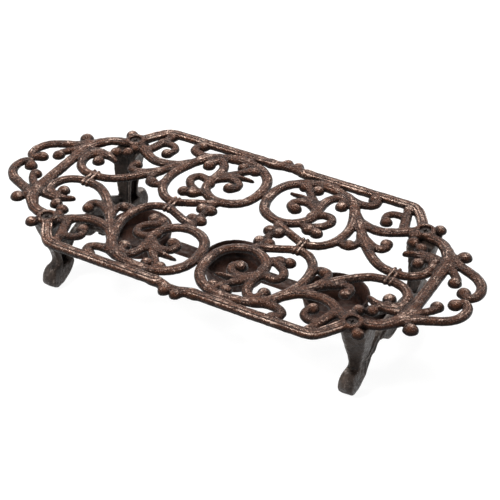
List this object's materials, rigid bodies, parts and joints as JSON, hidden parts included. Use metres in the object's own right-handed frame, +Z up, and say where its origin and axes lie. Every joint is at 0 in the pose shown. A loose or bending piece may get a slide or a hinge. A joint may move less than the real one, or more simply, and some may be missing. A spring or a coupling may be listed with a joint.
{
  "type": "trivet",
  "caption": "Long openwork scroll trivet of cast iron on two arched end frames with curled feet, with a tray of tealight cups under the grate for keeping dishes warm.",
  "frame": {"origin": "middle of the footprint, at the height of the surface the feet stand on", "axes": "+X along the trivet, +Y across it, +Z up"},
  "size_m": [0.3886, 0.1946, 0.0665],
  "materials": {
    "cast_iron_grate": "sand cast, antique rust brown with worn grey-pink highlights",
    "cast_iron_frame": "sand cast, dark grey with rust brown patches",
    "cast_iron_tray": "sand cast, dark chocolate brown",
    "dark_steel": "blackened, oiled"
  },
  "bodies": {
    "root": {"top_grate": "cast_iron_grate", "end_frame_left": "cast_iron_frame", "end_frame_right": "cast_iron_frame", "tealight_tray": "cast_iron_tray", "grate_screw_front_left": "dark_steel", "grate_screw_front_right": "dark_steel", "grate_screw_back_left": "dark_steel", "grate_screw_back_right": "dark_steel", "tray_screw_left": "dark_steel", "tray_screw_right": "dark_steel", "tray_nut_left": "dark_steel", "tray_nut_right": "dark_steel"}
  },
  "joints": []
}
